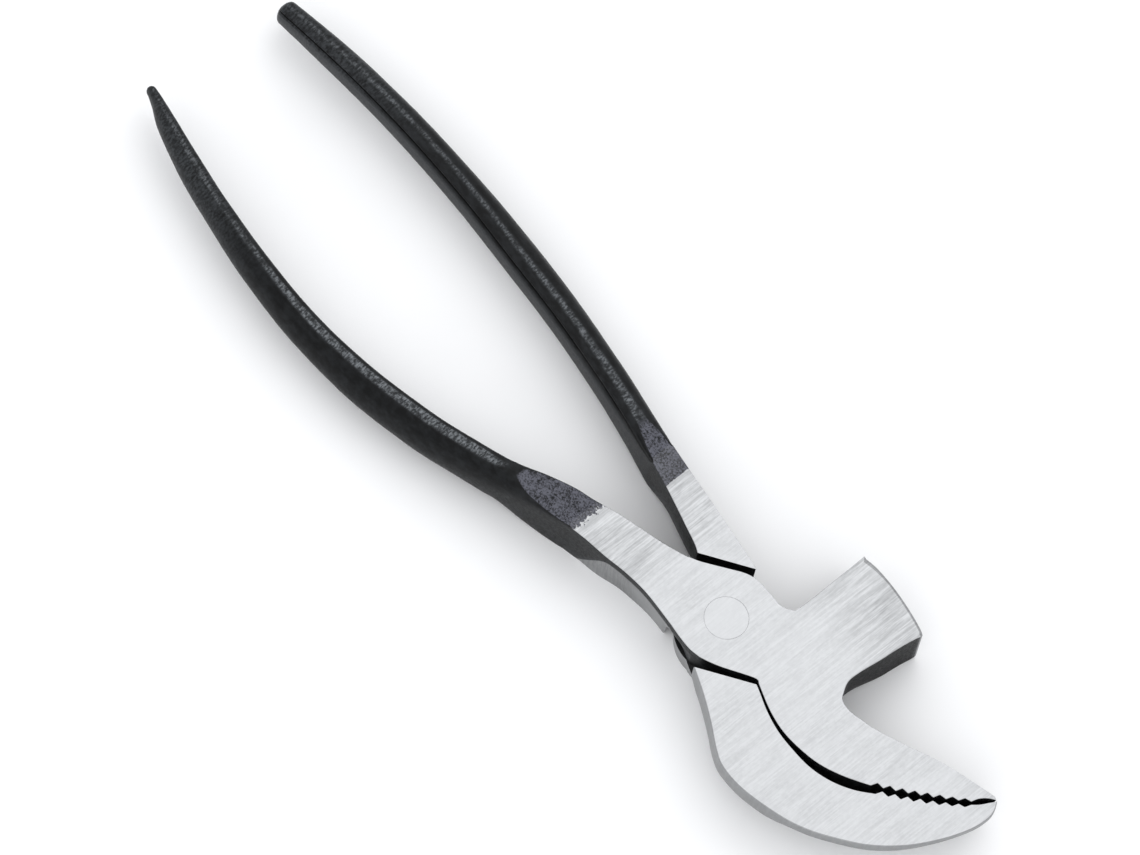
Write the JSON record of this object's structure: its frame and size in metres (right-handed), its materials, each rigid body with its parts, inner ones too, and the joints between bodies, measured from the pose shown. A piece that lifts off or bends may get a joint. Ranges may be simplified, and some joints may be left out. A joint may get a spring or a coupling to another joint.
{
  "type": "lasting pincer",
  "caption": "Riveted pincer with curved toothed beak jaws, a square hammer poll on the upper jaw and long slim black handles, for pulling tacks and staples.",
  "frame": {"origin": "on the rivet's axis, in the plane of the back face that the tool lies on", "axes": "+X along the tool towards the jaws, +Y towards the hammer, +Z along the rivet out of the front face"},
  "size_m": [0.2233, 0.0578, 0.013],
  "materials": {
    "hammer_lever_steel": "forged steel, satin-ground faces on head and hammer, black lacquer on handle and unground sides",
    "plain_lever_steel": "forged steel, satin-ground faces on jaw and neck, black lacquer on handle and unground sides",
    "rivet_steel": "satin-ground flush head"
  },
  "bodies": {
    "hammer_half": {"hammer_lever": "hammer_lever_steel", "pivot_rivet": "rivet_steel"},
    "plain_half": {"plain_lever": "plain_lever_steel"}
  },
  "joints": [
    {"name": "jaw_pivot", "type": "hinge", "parent": "hammer_half", "child": "plain_half", "pos_m": [0, 0, 0.0065], "axis": [0, 0, -1], "range_deg": [0, 35]}
  ]
}
